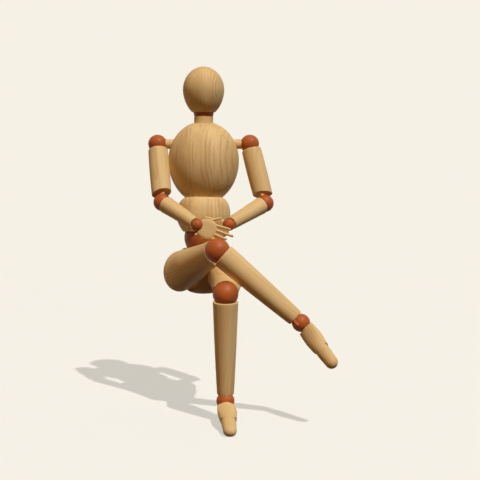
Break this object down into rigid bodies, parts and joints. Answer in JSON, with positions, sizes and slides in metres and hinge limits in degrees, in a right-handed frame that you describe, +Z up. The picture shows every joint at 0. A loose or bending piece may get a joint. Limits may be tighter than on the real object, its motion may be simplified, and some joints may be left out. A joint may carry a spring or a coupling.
{
  "type": "wooden artist mannequin",
  "caption": "Jointed wooden figure with an egg-shaped head, turned torso and limbs and slotted pegged ball joints, sitting with one leg crossed over the other and its hands in its lap.",
  "frame": {"origin": "middle of the flat seat land under the pelvis", "axes": "+Z up, the figure faces -Y, its own left side is at +X"},
  "size_m": [0.1352, 0.1259, 0.2545],
  "materials": {
    "beech": "satin clear varnish on pale beech",
    "stained_ball": "satin varnish over a red-brown stain",
    "steel": "plain drawn rod"
  },
  "bodies": {
    "pelvis": {"pelvis": "beech"},
    "waist_ball": {"waist_ball": "stained_ball", "waist_pin": "steel"},
    "abdomen": {"abdomen": "beech"},
    "chest": {"chest": "beech", "shoulder_bar": "beech", "neck": "beech"},
    "neck_ball": {"neck_ball": "stained_ball", "neck_pin": "steel"},
    "head": {"head": "beech"},
    "right_shoulder_ball": {"right_shoulder_ball": "stained_ball", "right_shoulder_pin": "steel"},
    "right_arm_hanger": {"right_arm_hanger": "steel"},
    "right_upper_arm": {"right_upper_arm": "beech"},
    "right_elbow_ball": {"right_elbow_ball": "stained_ball", "right_elbow_pin": "steel"},
    "right_forearm": {"right_forearm": "beech"},
    "right_wrist_ball": {"right_wrist_ball": "stained_ball"},
    "right_hand": {"right_palm": "beech", "right_index_finger": "beech", "right_middle_finger": "beech", "right_ring_finger": "beech", "right_little_finger": "beech", "right_thumb": "beech"},
    "right_hip_ball": {"right_hip_ball": "stained_ball", "right_hip_pin": "steel"},
    "right_thigh": {"right_thigh": "beech"},
    "right_knee_hanger": {"right_knee_hanger": "steel"},
    "right_knee_ball": {"right_knee_ball": "stained_ball", "right_knee_pin": "steel"},
    "right_shin": {"right_shin": "beech"},
    "right_ankle_ball": {"right_ankle_ball": "stained_ball", "right_ankle_pin": "steel"},
    "right_foot": {"right_foot": "beech"},
    "right_toe": {"right_toe": "beech"},
    "left_shoulder_ball": {"left_shoulder_ball": "stained_ball", "left_shoulder_pin": "steel"},
    "left_arm_hanger": {"left_arm_hanger": "steel"},
    "left_upper_arm": {"left_upper_arm": "beech"},
    "left_elbow_ball": {"left_elbow_ball": "stained_ball", "left_elbow_pin": "steel"},
    "left_forearm": {"left_forearm": "beech"},
    "left_wrist_ball": {"left_wrist_ball": "stained_ball"},
    "left_hand": {"left_palm": "beech", "left_index_finger": "beech", "left_middle_finger": "beech", "left_ring_finger": "beech", "left_little_finger": "beech", "left_thumb": "beech"},
    "left_hip_ball": {"left_hip_ball": "stained_ball", "left_hip_pin": "steel"},
    "left_thigh": {"left_thigh": "beech"},
    "left_knee_hanger": {"left_knee_hanger": "steel"},
    "left_knee_ball": {"left_knee_ball": "stained_ball", "left_knee_pin": "steel"},
    "left_shin": {"left_shin": "beech"},
    "left_ankle_ball": {"left_ankle_ball": "stained_ball", "left_ankle_pin": "steel"},
    "left_foot": {"left_foot": "beech"},
    "left_toe": {"left_toe": "beech"}
  },
  "joints": [
    {"name": "waist_bend", "type": "hinge", "parent": "pelvis", "child": "waist_ball", "pos_m": [0, 0, 0.0422], "axis": [1, 0, 0], "range_deg": [-21, 3]},
    {"name": "abdomen_turn", "type": "hinge", "parent": "waist_ball", "child": "abdomen", "pos_m": [0, 0, 0.0422], "axis": [0, 0.0802, 0.9968], "range_deg": [-38, 38]},
    {"name": "chest_turn", "type": "hinge", "parent": "abdomen", "child": "chest", "pos_m": [0, 0.00243, 0.0724], "axis": [0, 0.0802, 0.9968], "range_deg": [-38, 38]},
    {"name": "head_nod", "type": "hinge", "parent": "chest", "child": "neck_ball", "pos_m": [0, 0.00756, 0.1362], "axis": [1, 0, 0], "range_deg": [-29, 19.4]},
    {"name": "head_turn", "type": "hinge", "parent": "neck_ball", "child": "head", "pos_m": [0, 0.00756, 0.1362], "axis": [0, -0.0244, 0.9997], "range_deg": [-77, 77]},
    {"name": "right_arm_swing", "type": "hinge", "parent": "chest", "child": "right_shoulder_ball", "pos_m": [-0.0348, 0.00565, 0.11237], "axis": [1, 0, 0], "range_deg": [-145, 2.8]},
    {"name": "right_arm_lift", "type": "hinge", "parent": "right_shoulder_ball", "child": "right_arm_hanger", "pos_m": [-0.0348, 0.00565, 0.11237], "axis": [0, 0.9096, -0.4154], "range_deg": [-1, 3]},
    {"name": "right_arm_turn", "type": "hinge", "parent": "right_arm_hanger", "child": "right_upper_arm", "pos_m": [-0.0348, 0.00565, 0.11237], "axis": [-0.1015, 0.4132, 0.9049], "range_deg": [-87, 5]},
    {"name": "right_elbow_bend", "type": "hinge", "parent": "right_upper_arm", "child": "right_elbow_ball", "pos_m": [-0.02997, -0.01402, 0.0693], "axis": [0.5889, 0.7581, -0.2801], "range_deg": [-58, 3]},
    {"name": "right_forearm_turn", "type": "hinge", "parent": "right_elbow_ball", "child": "right_forearm", "pos_m": [-0.02997, -0.01402, 0.0693], "axis": [-0.661, 0.6512, 0.3728], "range_deg": [-87, 23]},
    {"name": "right_wrist_bend", "type": "hinge", "parent": "right_forearm", "child": "right_wrist_ball", "pos_m": [-0.0032, -0.0404, 0.0542], "axis": [0.3157, -0.2094, 0.9255], "range_deg": [-9.7, 8]},
    {"name": "right_hand_turn", "type": "hinge", "parent": "right_wrist_ball", "child": "right_hand", "pos_m": [-0.0032, -0.0404, 0.0542], "axis": [-0.9225, 0.1604, 0.351], "range_deg": [-87, 27]},
    {"name": "right_leg_swing", "type": "hinge", "parent": "pelvis", "child": "right_hip_ball", "pos_m": [-0.0172, -0.0055, 0.0174], "axis": [1, 0, 0], "range_deg": [-1, 0]},
    {"name": "right_leg_spread", "type": "hinge", "parent": "right_hip_ball", "child": "right_thigh", "pos_m": [-0.0172, -0.0055, 0.0174], "axis": [0, -0.3778, -0.9259], "range_deg": [-1, 6]},
    {"name": "right_leg_turn", "type": "hinge", "parent": "right_thigh", "child": "right_knee_hanger", "pos_m": [0.01165, -0.05368, 0.03706], "axis": [-0.4848, 0.8098, -0.3305], "range_deg": [-46, 1]},
    {"name": "right_knee_bend", "type": "hinge", "parent": "right_knee_hanger", "child": "right_knee_ball", "pos_m": [0.01165, -0.05368, 0.03706], "axis": [0.5634, 0.5781, 0.5902], "range_deg": [-69, 0]},
    {"name": "right_shin_turn", "type": "hinge", "parent": "right_knee_ball", "child": "right_shin", "pos_m": [0.01165, -0.05368, 0.03706], "axis": [-0.7575, 0.0762, 0.6484], "range_deg": [-58, 58]},
    {"name": "right_ankle_bend", "type": "hinge", "parent": "right_shin", "child": "right_ankle_ball", "pos_m": [0.0699, -0.05955, -0.0128], "axis": [0.6068, -0.2842, 0.7423], "range_deg": [-58, 31]},
    {"name": "right_foot_turn", "type": "hinge", "parent": "right_ankle_ball", "child": "right_foot", "pos_m": [0.0699, -0.05955, -0.0128], "axis": [-0.5356, 0.5439, 0.646], "range_deg": [-26.4, 77]},
    {"name": "right_toe_bend", "type": "hinge", "parent": "right_foot", "child": "right_toe", "pos_m": [0.08516, -0.07505, -0.03121], "axis": [0.6068, -0.2842, 0.7423], "range_deg": [-34, 34]},
    {"name": "left_arm_swing", "type": "hinge", "parent": "chest", "child": "left_shoulder_ball", "pos_m": [0.0348, 0.00565, 0.11237], "axis": [1, 0, 0], "range_deg": [-4, 9.7]},
    {"name": "left_arm_lift", "type": "hinge", "parent": "left_shoulder_ball", "child": "left_arm_hanger", "pos_m": [0.0348, 0.00565, 0.11237], "axis": [0, 0.953, -0.3029], "range_deg": [-77, 6]},
    {"name": "left_arm_turn", "type": "hinge", "parent": "left_arm_hanger", "child": "left_upper_arm", "pos_m": [0.0348, 0.00565, 0.11237], "axis": [-0.2347, 0.2945, 0.9264], "range_deg": [-13.6, 8]},
    {"name": "left_elbow_bend", "type": "hinge", "parent": "left_upper_arm", "child": "left_elbow_ball", "pos_m": [0.04597, -0.00837, 0.06828], "axis": [0.5594, -0.7385, 0.3765], "range_deg": [-31, 6]},
    {"name": "left_forearm_turn", "type": "hinge", "parent": "left_elbow_ball", "child": "left_forearm", "pos_m": [0.04597, -0.00837, 0.06828], "axis": [0.6536, 0.6723, 0.3476], "range_deg": [-13.6, 15.5]},
    {"name": "left_wrist_bend", "type": "hinge", "parent": "left_forearm", "child": "left_wrist_ball", "pos_m": [0.0195, -0.0356, 0.0542], "axis": [0.4005, 0.0824, -0.9126], "range_deg": [-19.4, 5]},
    {"name": "left_hand_turn", "type": "hinge", "parent": "left_wrist_ball", "child": "left_hand", "pos_m": [0.0195, -0.0356, 0.0542], "axis": [0.8853, -0.2917, 0.3622], "range_deg": [-87, 38]},
    {"name": "left_leg_swing", "type": "hinge", "parent": "pelvis", "child": "left_hip_ball", "pos_m": [0.0172, -0.0055, 0.0174], "axis": [1, 0, 0], "range_deg": [0, 34]},
    {"name": "left_leg_spread", "type": "hinge", "parent": "left_hip_ball", "child": "left_thigh", "pos_m": [0.0172, -0.0055, 0.0174], "axis": [0, 0.1582, -0.9874], "range_deg": [0, 3]},
    {"name": "left_leg_turn", "type": "hinge", "parent": "left_thigh", "child": "left_knee_hanger", "pos_m": [0.01741, -0.06425, 0.00799], "axis": [-0.0035, 0.9874, 0.1582], "range_deg": [-46, 58]},
    {"name": "left_knee_bend", "type": "hinge", "parent": "left_knee_hanger", "child": "left_knee_ball", "pos_m": [0.01741, -0.06425, 0.00799], "axis": [1, 0.004, -0.0029], "range_deg": [-77, 5]},
    {"name": "left_shin_turn", "type": "hinge", "parent": "left_knee_ball", "child": "left_shin", "pos_m": [0.01741, -0.06425, 0.00799], "axis": [0.0032, -0.0871, 0.9962], "range_deg": [-58, 58]},
    {"name": "left_ankle_bend", "type": "hinge", "parent": "left_shin", "child": "left_ankle_ball", "pos_m": [0.01716, -0.05755, -0.06862], "axis": [0.995, 0.0995, 0.0055], "range_deg": [-3.2, 73]},
    {"name": "left_foot_turn", "type": "hinge", "parent": "left_ankle_ball", "child": "left_foot", "pos_m": [0.01716, -0.05755, -0.06862], "axis": [-0.096, 0.9429, 0.3188], "range_deg": [-77, 77]},
    {"name": "left_toe_bend", "type": "hinge", "parent": "left_foot", "child": "left_toe", "pos_m": [0.0199, -0.08442, -0.0777], "axis": [0.995, 0.0995, 0.0055], "range_deg": [-34, 34]}
  ]
}
